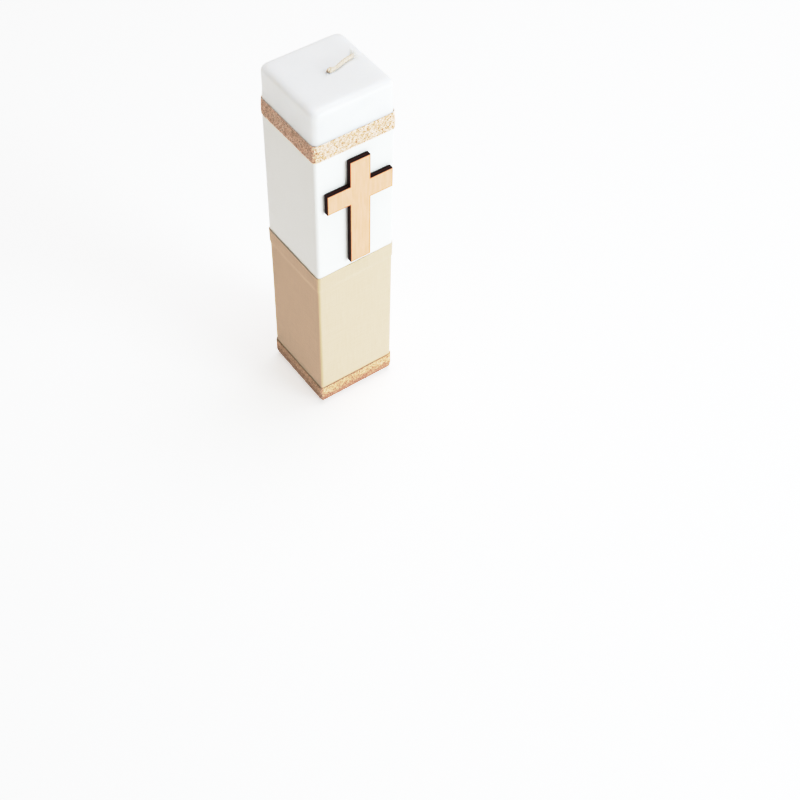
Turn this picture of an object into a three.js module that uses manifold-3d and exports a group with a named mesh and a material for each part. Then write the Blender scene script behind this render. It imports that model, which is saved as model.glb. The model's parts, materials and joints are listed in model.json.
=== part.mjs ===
// A square pillar candle dressed with two cloth sleeves, two twine windings and a wooden cross.
// Millimetres, +Z up. The origin is the middle of the base, and the cross faces -Y.
import * as THREE from "three";
import { mergeVertices } from "three/addons/utils/BufferGeometryUtils.js";
import Module from "manifold-3d";

const wasm = await Module();
wasm.setup();

// Driving dimensions
const WAX = { half: 24.6, height: 218.5, corner: 1.6, topRound: 4.5, baseRound: 4.5 };
const WICK = { x: 0, y: -1.5, radius: 1.1, bore: 1.4, gap: 0.3 };
const BENT_WICK = { direction: THREE.MathUtils.degToRad(11), knuckle: 1.2 };
const BENT_WICK_ROUTE = [
  [0, 0, 0],
  [4, -1.2, 0],
  [10, -0.6, 0.4],
  [15, -0.5, 0.3],
  [18, 0, 0],
];
const TUFT = { halfSize: [3.2, 2.8, 1.15], centre: [18.6, 0.3, 0.1] };
const CLIP = { radius: 10, plate: 0.4, floor: 0.8, neckHeight: 6, neckBase: 2.2, neckTop: 2 };
const WHITE = { inner: 24.63, outer: 24.93, bottom: 97.5, top: 191.8 };
const BEIGE = { inner: 24.63, outer: 24.98, bottom: 4.4, top: 106.1 };
const HEM = { inner: 25.01, outer: 25.5, height: 9, slope: 1.2, bevel: 0.15 };
const LAP = { innerEdge: -6, outerEdge: 6, slit: 0.4, clearOfTwine: 0.6 };
const TAPE = { thickness: 0.1, gap: 0.02, inset: 1 };
const TWINE = { radial: 0.25, upright: 0.6, pitch: 1.2, gap: 0.05, sides: 6 };
const UPPER_WINDING = { turns: 9, start: 187.5 };
const LOWER_WINDING = { turns: 11, start: 0.65 };
const CROSS = { width: 41.1, height: 70.5, stem: 12.7, arm: 12.7, armFoot: 41.6, thickness: 3 };
const CROSS_PLACE = { x: 0.9, foot: 110.6 };
const CROSS_TAPE = { width: 9, height: 20, thickness: 0.15, lower: 8, upper: 44 };

// Fineness of the curved stretches
const CORNER_STEPS = 4;
const ROUND_STEPS = 5;
const CYLINDER_SIDES = 12;
const BALL_BANDS = 8;
const WICK_STEPS = 16;
const CLIP_SIDES = 32;
const SHARPEST_CORNER = 0.4;
const SPARE = 1; // how far a cutting tool reaches past what it cuts

const CORNER_CENTRE = WAX.half - WAX.corner;
const QUARTER = Math.PI / 2;

const material = (color, roughness, metalness = 0) =>
  new THREE.MeshStandardMaterial({ color, roughness, metalness });

const MATERIALS = {
  wax: material("#eff0ef", 0.45),
  wick: material("#e6ddcb", 0.95),
  tin: material("#b9bcbd", 0.35, 1),
  white: material("#f7f6f3", 0.9),
  beige: material("#e3d3b8", 0.92),
  twine: material("#d9b78c", 0.95),
  wood: material("#f2d3ae", 0.6),
  tape: material("#f4f2ea", 0.5),
};

// Solids: closed meshes in and out of the boolean library

function closedMesh(geometry) {
  const plain = geometry.clone();
  plain.deleteAttribute("normal");
  plain.deleteAttribute("uv");
  const merged = mergeVertices(plain, 1e-4);
  const corners = merged.index.array;
  const kept = [];
  for (let i = 0; i < corners.length; i += 3) {
    const [a, b, c] = corners.slice(i, i + 3);
    if (a !== b && b !== c && c !== a) kept.push(a, b, c);
  }
  merged.setIndex(kept);
  return merged;
}

function solidOf(geometry) {
  const closed = closedMesh(geometry);
  return new wasm.Manifold(
    new wasm.Mesh({
      numProp: 3,
      vertProperties: closed.getAttribute("position").array,
      triVerts: new Uint32Array(closed.index.array),
    }),
  );
}

function geometryOf(solid) {
  const { vertProperties, triVerts } = solid.getMesh();
  const geometry = new THREE.BufferGeometry();
  geometry.setAttribute("position", new THREE.BufferAttribute(vertProperties, 3));
  geometry.setIndex(new THREE.BufferAttribute(triVerts, 1));
  geometry.computeVertexNormals();
  return geometry;
}

function joined(geometries) {
  return geometryOf(geometries.map(solidOf).reduce((whole, piece) => whole.add(piece)));
}

function cut(geometry, tool) {
  return geometryOf(solidOf(geometry).subtract(solidOf(tool)));
}

function block([x0, x1], [y0, y1], [z0, z1]) {
  return new THREE.BoxGeometry(x1 - x0, y1 - y0, z1 - z0).translate(
    (x0 + x1) / 2,
    (y0 + y1) / 2,
    (z0 + z1) / 2,
  );
}

function turned(profile, sides) {
  return new THREE.LatheGeometry(profile, sides).rotateX(QUARTER);
}

// The square section with rounded corners that every sleeve and winding follows

function squarePoint(half, quarter, share) {
  const radius = Math.max(half - CORNER_CENTRE, SHARPEST_CORNER);
  const reach = (half - radius) * Math.SQRT2;
  const cornerway = (quarter + 0.5) * QUARTER;
  const angle = (quarter + share) * QUARTER;
  return new THREE.Vector2(
    reach * Math.cos(cornerway) + radius * Math.cos(angle),
    reach * Math.sin(cornerway) + radius * Math.sin(angle),
  );
}

// A lathe whose rings are rounded squares. Each profile point is a half width and a height.
function squareLathe(profile) {
  const perQuarter = CORNER_STEPS + 1;
  const lathe = new THREE.LatheGeometry(profile, 4 * perQuarter);
  const position = lathe.getAttribute("position");
  for (let i = 0; i <= 4 * perQuarter; i++) {
    const quarter = Math.floor(i / perQuarter);
    const share = (i % perQuarter) / CORNER_STEPS;
    profile.forEach((point, j) => {
      const place = point.x ? squarePoint(point.x, quarter, share) : new THREE.Vector2();
      position.setXYZ(i * profile.length + j, place.x, place.y, point.y);
    });
  }
  return lathe;
}

function roundedEdge(half, level, radius, fromAngle, toAngle) {
  const points = [];
  for (let i = 0; i <= ROUND_STEPS; i++) {
    const angle = THREE.MathUtils.lerp(fromAngle, toAngle, i / ROUND_STEPS);
    points.push(
      new THREE.Vector2(
        half - radius + radius * Math.cos(angle),
        level + radius * Math.sin(angle),
      ),
    );
  }
  return points;
}

// Wax, wick and clip

function waxPillar() {
  const { half, height, topRound, baseRound } = WAX;
  const body = squareLathe([
    new THREE.Vector2(0, 0),
    ...roundedEdge(half, baseRound, baseRound, -QUARTER, 0),
    ...roundedEdge(half, height - topRound, topRound, 0, QUARTER),
    new THREE.Vector2(0, height),
  ]);
  return cut(body, wickWay().translate(WICK.x, WICK.y, 0));
}

// The room that the wick and its clip take up inside the wax
function wickWay() {
  const { bore, gap } = WICK;
  const neck = CLIP.neckBase + gap;
  const neckTop = CLIP.neckHeight + gap;
  return turned(
    [
      new THREE.Vector2(0, -SPARE),
      new THREE.Vector2(CLIP.radius + gap, -SPARE),
      new THREE.Vector2(CLIP.radius + gap, CLIP.plate + gap),
      new THREE.Vector2(neck, CLIP.plate + gap),
      new THREE.Vector2(neck, neckTop),
      new THREE.Vector2(bore, neckTop),
      new THREE.Vector2(bore, WAX.height + SPARE),
      new THREE.Vector2(0, WAX.height + SPARE),
    ],
    CLIP_SIDES,
  );
}

function wickClip() {
  const clip = turned(
    [
      new THREE.Vector2(0, 0),
      new THREE.Vector2(CLIP.radius, 0),
      new THREE.Vector2(CLIP.radius, CLIP.plate),
      new THREE.Vector2(CLIP.neckBase, CLIP.plate),
      new THREE.Vector2(CLIP.neckTop, CLIP.neckHeight),
      new THREE.Vector2(WICK.bore, CLIP.neckHeight),
      new THREE.Vector2(WICK.bore, CLIP.floor),
      new THREE.Vector2(0, CLIP.floor),
    ],
    CLIP_SIDES,
  );
  return closedMesh(clip.translate(WICK.x, WICK.y, 0));
}

function wickCore() {
  const foot = CLIP.floor + WICK.gap;
  const length = WAX.height - foot;
  return new THREE.CylinderGeometry(WICK.radius, WICK.radius, length, CYLINDER_SIDES)
    .rotateX(QUARTER)
    .translate(WICK.x, WICK.y, foot + length / 2);
}

// The bent end of the wick, lying along +X from its bending point to its frayed tuft
function wickTip() {
  const { knuckle } = BENT_WICK;
  const route = BENT_WICK_ROUTE.map((point) => new THREE.Vector3(...point));
  const section = new THREE.Shape().absellipse(0, 0, WICK.radius, WICK.radius, 0, 2 * Math.PI);
  return joined([
    new THREE.SphereGeometry(knuckle, CYLINDER_SIDES, BALL_BANDS),
    new THREE.ExtrudeGeometry(section, {
      extrudePath: new THREE.CatmullRomCurve3(route),
      steps: WICK_STEPS,
      curveSegments: CYLINDER_SIDES / 2,
    }),
    new THREE.SphereGeometry(1, CYLINDER_SIDES, BALL_BANDS)
      .scale(...TUFT.halfSize)
      .translate(...TUFT.centre),
  ]);
}

// Cloth sleeves, each with its free end lapped over itself at the back

function lapped(sleeve, cloth, lapZ) {
  const { innerEdge, outerEdge, slit } = LAP;
  const overlayInner = cloth.outer + TAPE.thickness + 2 * TAPE.gap;
  const overlayOuter = overlayInner + cloth.outer - cloth.inner;
  const slitX = [innerEdge - slit, innerEdge];
  const slitY = [0, overlayOuter + SPARE];
  const opened = cut(sleeve, block(slitX, slitY, [cloth.bottom - SPARE, cloth.top + SPARE]));
  const riser = block([innerEdge - 2 * slit, innerEdge - slit], [cloth.inner, overlayOuter], lapZ);
  const overlay = block([innerEdge - 2 * slit, outerEdge], [overlayInner, overlayOuter], lapZ);
  return joined([opened, riser, overlay]);
}

function seamTape(cloth, lapZ) {
  const inner = cloth.outer + TAPE.gap;
  return block(
    [LAP.innerEdge + TAPE.inset, LAP.outerEdge - TAPE.inset],
    [inner, inner + TAPE.thickness],
    [lapZ[0] + TAPE.inset, lapZ[1] - TAPE.inset],
  );
}

const windingTop = ({ turns, start }) => start + turns * TWINE.pitch;

const WHITE_LAP = [
  BEIGE.top + LAP.clearOfTwine,
  UPPER_WINDING.start - TWINE.upright - LAP.clearOfTwine,
];
const BEIGE_LAP = [
  windingTop(LOWER_WINDING) + TWINE.upright + LAP.clearOfTwine,
  BEIGE.top - HEM.height - HEM.slope,
];

function whiteCloth() {
  const { inner, outer, bottom, top } = WHITE;
  const sleeve = squareLathe([
    new THREE.Vector2(inner, bottom),
    new THREE.Vector2(outer, bottom),
    new THREE.Vector2(outer, top),
    new THREE.Vector2(inner, top),
    new THREE.Vector2(inner, bottom),
  ]);
  return lapped(sleeve, WHITE, WHITE_LAP);
}

// The beige sleeve steps out over the foot of the white one, where its folded hem lies
function beigeCloth() {
  const { inner, outer, bottom, top } = BEIGE;
  const hemFoot = top - HEM.height;
  const sleeve = squareLathe([
    new THREE.Vector2(inner, bottom),
    new THREE.Vector2(outer, bottom),
    new THREE.Vector2(outer, hemFoot - HEM.slope),
    new THREE.Vector2(HEM.outer, hemFoot),
    new THREE.Vector2(HEM.outer, top - HEM.bevel),
    new THREE.Vector2(HEM.outer - HEM.bevel, top),
    new THREE.Vector2(HEM.inner, top),
    new THREE.Vector2(HEM.inner, hemFoot),
    new THREE.Vector2(inner, hemFoot - WICK.gap),
    new THREE.Vector2(inner, bottom),
  ]);
  return lapped(sleeve, BEIGE, BEIGE_LAP);
}

// Twine

function waxHalfAt(z) {
  const { half, baseRound } = WAX;
  const below = Math.max(baseRound - z, 0);
  return half - baseRound + Math.sqrt(baseRound ** 2 - below ** 2);
}

// The half width of what lies under a turn of twine at height z
function underlay(z) {
  const { smoothstep, lerp } = THREE.MathUtils;
  const { upright, pitch } = TWINE;
  const overBeige = smoothstep(z, BEIGE.bottom - upright - pitch, BEIGE.bottom - upright);
  if (z < WAX.height / 2) return lerp(waxHalfAt(z + upright), BEIGE.outer, overBeige);
  const overWax = smoothstep(z, WHITE.top + upright, WHITE.top + upright + pitch);
  return lerp(WHITE.outer, WAX.half, overWax);
}

// One twine wound round the candle. Its parameter counts stations: the steps of each corner's
// arc, then two for the flat face after it, so that no station is spent on a straight run.
class WindingCurve extends THREE.Curve {
  constructor({ turns, start }) {
    super();
    this.turns = turns;
    this.start = start;
    this.perQuarter = CORNER_STEPS + 2;
    this.stations = turns * 4 * this.perQuarter;
  }

  getPoint(t, target = new THREE.Vector3()) {
    const station = t * this.stations + this.perQuarter - 1;
    const quarter = Math.floor(station / this.perQuarter);
    const within = station - quarter * this.perQuarter;
    const alongArc = Math.min(within / CORNER_STEPS, 1);
    const alongFace = Math.max(within - CORNER_STEPS, 0) / 2;
    const arc = QUARTER * (WAX.corner + TWINE.radial);
    const face = 2 * CORNER_CENTRE;
    const travelled = (alongArc * arc + alongFace * face) / (arc + face);
    const firstPart = (arc + face / 2) / (arc + face);
    const z = this.start + ((quarter + travelled - firstPart) / 4) * TWINE.pitch;
    const half = underlay(z) + TWINE.gap + TWINE.radial;
    const place = squarePoint(half, quarter, alongArc);
    place.lerp(squarePoint(half, quarter + 1, 0), alongFace);
    return target.set(place.x, place.y, z);
  }

  getPointAt(u, target) {
    return this.getPoint(u, target);
  }

  getTangentAt(u, target) {
    return this.getTangent(u, target);
  }

  // Frames that keep the same side of the twine to the candle all the way up
  computeFrenetFrames(segments) {
    const up = new THREE.Vector3(0, 0, 1);
    const frames = { tangents: [], normals: [], binormals: [] };
    for (let i = 0; i <= segments; i++) {
      const tangent = this.getTangentAt(i / segments);
      const normal = new THREE.Vector3().crossVectors(up, tangent).normalize();
      frames.tangents.push(tangent);
      frames.normals.push(normal);
      frames.binormals.push(new THREE.Vector3().crossVectors(tangent, normal));
    }
    return frames;
  }
}

function twineWinding(winding) {
  const path = new WindingCurve(winding);
  const { radial, upright, sides } = TWINE;
  const section = new THREE.Shape().absellipse(0, 0, radial, upright, 0, 2 * Math.PI);
  return new THREE.ExtrudeGeometry(section, {
    extrudePath: path,
    steps: path.stations,
    curveSegments: sides / 2,
  });
}

// Cross

const CROSS_BACK = WHITE.outer + CROSS_TAPE.thickness + 2 * TAPE.gap;

function woodenCross() {
  const { width, height, stem, arm, armFoot, thickness } = CROSS;
  const half = width / 2;
  const post = stem / 2;
  const armTop = armFoot + arm;
  const outline = [
    [-post, 0],
    [post, 0],
    [post, armFoot],
    [half, armFoot],
    [half, armTop],
    [post, armTop],
    [post, height],
    [-post, height],
    [-post, armTop],
    [-half, armTop],
    [-half, armFoot],
    [-post, armFoot],
  ].map(([x, y]) => new THREE.Vector2(x, y));
  return new THREE.ExtrudeGeometry(new THREE.Shape(outline), {
    depth: thickness,
    bevelEnabled: false,
  }).rotateX(QUARTER);
}

function crossTape() {
  const { width, height, thickness } = CROSS_TAPE;
  return block([-width / 2, width / 2], [-thickness, 0], [0, height]);
}

// The assembly

function named(name, geometry, finish) {
  const mesh = new THREE.Mesh(geometry, finish);
  mesh.name = name;
  return mesh;
}

const candle = new THREE.Group();

candle.add(named("wax_pillar", waxPillar(), MATERIALS.wax));
candle.add(named("wick_core", wickCore(), MATERIALS.wick));
candle.add(named("wick_clip", wickClip(), MATERIALS.tin));
candle.add(named("white_cloth", whiteCloth(), MATERIALS.white));
candle.add(named("white_seam_tape", seamTape(WHITE, WHITE_LAP), MATERIALS.tape));
candle.add(named("beige_cloth", beigeCloth(), MATERIALS.beige));
candle.add(named("beige_seam_tape", seamTape(BEIGE, BEIGE_LAP), MATERIALS.tape));
candle.add(named("upper_twine", twineWinding(UPPER_WINDING), MATERIALS.twine));
candle.add(named("lower_twine", twineWinding(LOWER_WINDING), MATERIALS.twine));

const bentWick = new THREE.Group();
bentWick.position.set(WICK.x, WICK.y, WAX.height + WICK.gap + BENT_WICK.knuckle);
bentWick.rotation.z = BENT_WICK.direction;
bentWick.add(named("wick_tip", wickTip(), MATERIALS.wick));
candle.add(bentWick);

const crossGroup = new THREE.Group();
crossGroup.position.set(CROSS_PLACE.x, -CROSS_BACK, CROSS_PLACE.foot);
crossGroup.add(named("wooden_cross", woodenCross(), MATERIALS.wood));
for (const end of ["lower", "upper"]) {
  const strip = named(`cross_tape_${end}`, crossTape(), MATERIALS.tape);
  strip.position.set(0, CROSS_TAPE.thickness + TAPE.gap, CROSS_TAPE[end]);
  crossGroup.add(strip);
}
candle.add(crossGroup);

export default candle;
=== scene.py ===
import json
import math

import bpy
import numpy as np
from mathutils import Matrix, Vector


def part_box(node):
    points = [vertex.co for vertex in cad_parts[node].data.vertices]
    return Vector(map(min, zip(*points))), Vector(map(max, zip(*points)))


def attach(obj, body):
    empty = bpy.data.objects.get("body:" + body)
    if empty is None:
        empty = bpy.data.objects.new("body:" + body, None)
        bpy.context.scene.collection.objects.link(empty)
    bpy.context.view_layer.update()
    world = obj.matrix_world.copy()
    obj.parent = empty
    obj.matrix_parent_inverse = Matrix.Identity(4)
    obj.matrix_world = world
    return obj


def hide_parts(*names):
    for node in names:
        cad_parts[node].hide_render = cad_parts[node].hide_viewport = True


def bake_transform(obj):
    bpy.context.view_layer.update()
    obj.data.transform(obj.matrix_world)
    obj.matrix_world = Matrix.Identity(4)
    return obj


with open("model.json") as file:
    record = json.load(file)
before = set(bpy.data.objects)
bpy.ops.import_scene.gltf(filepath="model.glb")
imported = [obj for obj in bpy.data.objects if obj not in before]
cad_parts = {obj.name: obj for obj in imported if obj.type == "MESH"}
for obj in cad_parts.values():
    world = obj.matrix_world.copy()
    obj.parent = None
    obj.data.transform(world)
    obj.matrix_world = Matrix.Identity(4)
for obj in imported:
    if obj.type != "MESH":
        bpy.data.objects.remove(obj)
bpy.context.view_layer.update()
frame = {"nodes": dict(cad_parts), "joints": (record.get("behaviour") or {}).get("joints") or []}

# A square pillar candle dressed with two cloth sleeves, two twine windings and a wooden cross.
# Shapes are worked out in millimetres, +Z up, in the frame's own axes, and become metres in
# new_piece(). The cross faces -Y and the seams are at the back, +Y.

MM = 0.001


def node_corners(node):
    """The lowest and highest corners of a CAD node, in millimetres."""
    low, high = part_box(node)
    return np.array(low) / MM, np.array(high) / MM


WAX_HIGH = node_corners("wax_pillar")[1]
CLIP_HIGH = node_corners("wick_clip")[1]
CORE_LOW, CORE_HIGH = node_corners("wick_core")
WHITE_LOW, WHITE_HIGH = node_corners("white_cloth")
BEIGE_LOW, BEIGE_HIGH = node_corners("beige_cloth")
CROSS_LOW, CROSS_HIGH = node_corners("wooden_cross")
UPPER_LOW, UPPER_HIGH = node_corners("upper_twine")
LOWER_LOW, LOWER_HIGH = node_corners("lower_twine")
HINGE = np.array(frame["joints"][0]["pos_m"]) / MM

# Driving dimensions that the frame doesn't give as a box
CORNER = 1.6  # the wax's upright edges, under the cloth
BARE_CORNER = 5.1  # and above it, where they are softer
BARE_SWELL = 0.35  # how far the bare wax stands out over the wrapped part
COLLAR = 0.38  # and how much further just above the twine, which squeezes it out
COLLAR_SPREAD = 1.6  # how far from the twine's top edge that fades away
PRESSED_IN = 0.06  # how far the cloth and twine press the rest in
TOP_ROUND = 5.3  # the wax's rounding at its top
SOFTNESS = 2 / 3  # exponent that eases a rounding into the flats beside it; 1 is a circle
FOOT = {"height": 6.5, "depth": 4.0}  # how far up the wax's foot draws in, and how much
CLOTH = 0.30  # thickness
CLOTH_GAP = 0.03  # between the wax and a sleeve
LAP = 6.0  # how far each sleeve's ends reach past the middle of the back
LAP_LIFT = 0.46  # how far the upper end stands off the lower one, where tape holds them
LAP_PRESSED = 0.03  # and where the twine or the hem presses them together
HEM = {"height": 9.0, "slope": 2.4, "layer": 0.18, "gap": 0.02, "tilt": 0.5, "stand": 0.14}
TWINE = {"radial": 0.25, "upright": 0.6, "pitch": 1.2, "gap": 0.05, "twist": 3.4}
PLY = {"out": 0.10, "up": 0.24, "width": 0.17, "height": 0.36}  # its place and half sizes
LOOSE_FIBRES = 1100  # on each winding
CORNER_SETTLE = 0.5  # how far the topmost turns cut the bare wax's softer corners
WICK_RADIUS = 1.1
WICK_FIT = 0.02  # how far the wax stands off the wick
MENISCUS = {"height": 1.0, "reach": 0.8}  # the wax that climbs the wick
HOLLOW = {"depth": 0.35, "reach": 9.0}  # the dip round it, where the wax shrank
CLIP_ROOM = {"gap": 0.3, "neck": 2.5, "plate": 0.7}  # the space round the clip in the wax
BRAID = {"pitch": 7.0, "radius": 0.63, "weave": 0.13, "width": 0.40, "height": 0.27}
KNUCKLE = 1.5  # how much thicker the wick's soaked bend is
WICK_DIRECTION = math.radians(11)
STEM = 12.7  # width of the cross's post
ARM = 12.7  # height of its arms
ARM_FOOT = 41.6  # and how far above its foot they start

WAX_HALF = WAX_HIGH[0]
WAX_TOP = WAX_HIGH[2]
CORNER_CENTRE = WAX_HALF - CORNER
WICK_PLACE = (CORE_LOW + CORE_HIGH) / 2
BEIGE_TOP = BEIGE_HIGH[2]
HEM_FOOT = BEIGE_TOP - HEM["height"]


# Small helpers for points, noise and meshes


def smooth(value, low, high):
    """0 below low, 1 above high and a smooth step between."""
    share = np.clip((np.asarray(value, float) - low) / (high - low), 0, 1)
    return share * share * (3 - 2 * share)


def waves(seed, count, longest, shortest, dimensions=3):
    """A function that gives a gentle random swell, about -1 to 1, at any points."""
    random = np.random.default_rng(seed)
    lengths = np.geomspace(longest, shortest, count)
    directions = random.normal(size=(count, dimensions))
    directions /= np.linalg.norm(directions, axis=1, keepdims=True)
    phases = random.uniform(0, 2 * math.pi, count)
    shares = lengths / lengths.sum()

    def swell(points):
        points = np.asarray(points, float)
        total = np.zeros(points.shape[:-1])
        for length, direction, phase, share in zip(lengths, directions, phases, shares):
            total += share * np.sin(points @ direction * (2 * math.pi / length) + phase)
        return 1.6 * total

    return swell


def grid_faces(rows, columns, wrap_rows=False, wrap_columns=False):
    """Quads between the points of a grid whose rows are stored one after another."""
    row = np.arange(rows if wrap_rows else rows - 1)[:, None]
    column = np.arange(columns if wrap_columns else columns - 1)[None, :]
    next_row = (row + 1) % rows
    next_column = (column + 1) % columns
    corners = (
        row * columns + column,
        row * columns + next_column,
        next_row * columns + next_column,
        next_row * columns + column,
    )
    return np.stack(np.broadcast_arrays(*corners), axis=-1).reshape(-1, 4).tolist()


def capped_faces(rows, columns):
    """The faces of a closed tube: rows of rings with a flat cap at each end."""
    last = (rows - 1) * columns
    faces = grid_faces(rows, columns, wrap_columns=True)
    faces.append(list(range(columns))[::-1])
    faces.append([last + corner for corner in range(columns)])
    return faces


class Shape:
    """Points, faces and per-point values that grow piece by piece into one mesh."""

    def __init__(self):
        self.points = []
        self.faces = []
        self.values = {}
        self.size = 0

    def add(self, points, faces, **values):
        """Adds points, faces over them and a value, or one value per point, by name."""
        points = np.asarray(points, float).reshape(-1, 3)
        self.points.append(points)
        self.faces += [[corner + self.size for corner in face] for face in faces]
        for name, value in values.items():
            value = np.asarray(value, float)
            if value.ndim == 0:
                value = np.full(len(points), float(value))
            self.values.setdefault(name, []).append(value.reshape(len(points), -1))
        self.size += len(points)
        return self


def new_piece(name, shape, material, body=None, flat=False):
    """A Blender object made of a shape in millimetres, with its values as attributes."""
    mesh = bpy.data.meshes.new(name)
    mesh.from_pydata((np.concatenate(shape.points) * MM).tolist(), [], shape.faces)
    for attribute, parts in shape.values.items():
        values = np.concatenate(parts)
        if values.shape[1] == 1:
            layer = mesh.attributes.new(attribute, "FLOAT", "POINT")
            layer.data.foreach_set("value", values.ravel().astype(np.float32))
        else:
            layer = mesh.attributes.new(attribute, "FLOAT_VECTOR", "POINT")
            layer.data.foreach_set("vector", values.ravel().astype(np.float32))
    mesh.polygons.foreach_set("use_smooth", [not flat] * len(mesh.polygons))
    mesh.materials.append(material)
    mesh.update()
    piece = bpy.data.objects.new(name, mesh)
    bpy.context.scene.collection.objects.link(piece)
    if body:
        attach(piece, body)
    return piece


def unit(vectors):
    """Vectors of the same direction with length 1."""
    return vectors / np.maximum(np.linalg.norm(vectors, axis=-1, keepdims=True), 1e-9)


def tube(path, side, up, width, height, sides):
    """Points, faces and the angle round of a closed tube with an elliptical section."""
    angles = np.arange(sides) * 2 * math.pi / sides
    width = np.broadcast_to(width, len(path))[:, None, None]
    height = np.broadcast_to(height, len(path))[:, None, None]
    ring = side[:, None] * np.cos(angles)[None, :, None] * width
    ring = ring + up[:, None] * np.sin(angles)[None, :, None] * height
    points = path[:, None] + ring
    return points.reshape(-1, 3), capped_faces(len(path), sides), np.tile(angles, len(path))


def fibre_place(around, along, radius=1.0):
    """Where each point lies in a fibre's own space: round it and along it."""
    return np.stack([radius * np.cos(around), radius * np.sin(around), along], axis=1)


def frame_along(path, towards):
    """Side and up of a path, with up kept near a given direction."""
    tangent = unit(np.gradient(path, axis=0))
    side = unit(np.cross(tangent, towards))
    return side, unit(np.cross(side, tangent))


def spline(points, count):
    """A smooth path through a few points, by Catmull and Rom's rule, evenly spaced."""
    points = np.asarray(points, float)
    ends = np.vstack([2 * points[0] - points[1], points, 2 * points[-1] - points[-2]])
    path = []
    for i in range(1, len(ends) - 2):
        before, start, end, after = ends[i - 1 : i + 3]
        for t in np.linspace(0, 1, 24, endpoint=False):
            path.append(
                0.5
                * (
                    2 * start
                    + (end - before) * t
                    + (2 * before - 5 * start + 4 * end - after) * t**2
                    + (3 * start - before - 3 * end + after) * t**3
                )
            )
    path = np.array([*path, points[-1]])
    travelled = np.r_[0, np.cumsum(np.linalg.norm(np.diff(path, axis=0), axis=1))]
    wanted = np.linspace(0, travelled[-1], count)
    return np.stack([np.interp(wanted, travelled, path[:, k]) for k in range(3)], axis=1)


# The rounded square that every layer follows. A place on it is the distance travelled
# anticlockwise from the middle of the back, at the cloth's own distance from the middle.

ARC = math.pi / 2 * (CORNER + CLOTH_GAP + CLOTH / 2)
FACE = 2 * CORNER_CENTRE
ROUND = 4 * (ARC + FACE)


def square_frame(travelled):
    """Core point and outward direction, in plan, at distances round the square."""
    share = (np.asarray(travelled, float) + FACE / 2) / (ARC + FACE)
    quarter = np.floor(share)
    within = (share - quarter) * (ARC + FACE)
    turned = np.clip((within - FACE) / ARC, 0, 1) * math.pi / 2
    along = np.minimum(within, FACE) - CORNER_CENTRE
    facing = quarter * math.pi / 2 + math.pi / 2
    ahead = np.stack([-np.sin(facing), np.cos(facing)], axis=-1)
    outward = np.stack([np.cos(facing), np.sin(facing)], axis=-1)
    core = ahead * along[..., None] + outward * CORNER_CENTRE
    angle = facing + turned
    return core, np.stack([np.cos(angle), np.sin(angle)], axis=-1)


def square_stations(start, end, face_step, arc_steps):
    """Distances from start to end, closer together round the upright edges."""
    stations = [start]
    side = ARC + FACE
    for quarter in range(math.floor(start / side) - 1, math.ceil(end / side) + 1):
        face_end = quarter * side + FACE / 2
        stations += np.linspace(face_end, face_end + ARC, arc_steps + 1).tolist()
        count = max(int(FACE / face_step), 2)
        stations += np.linspace(face_end + ARC, face_end + side, count + 1)[1:-1].tolist()
    stations = np.array(sorted(s for s in stations if start < s < end))
    return np.r_[start, stations, end]


def square_points(stations, offset, z):
    """Points at distances round, offsets out from the wax's face, and heights."""
    core, outward = square_frame(stations)
    plan = core + outward * (CORNER + np.asarray(offset, float))[..., None]
    z = np.broadcast_to(z, plan.shape[:-1])
    return np.concatenate([plan, z[..., None]], axis=-1)


# Materials


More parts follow.
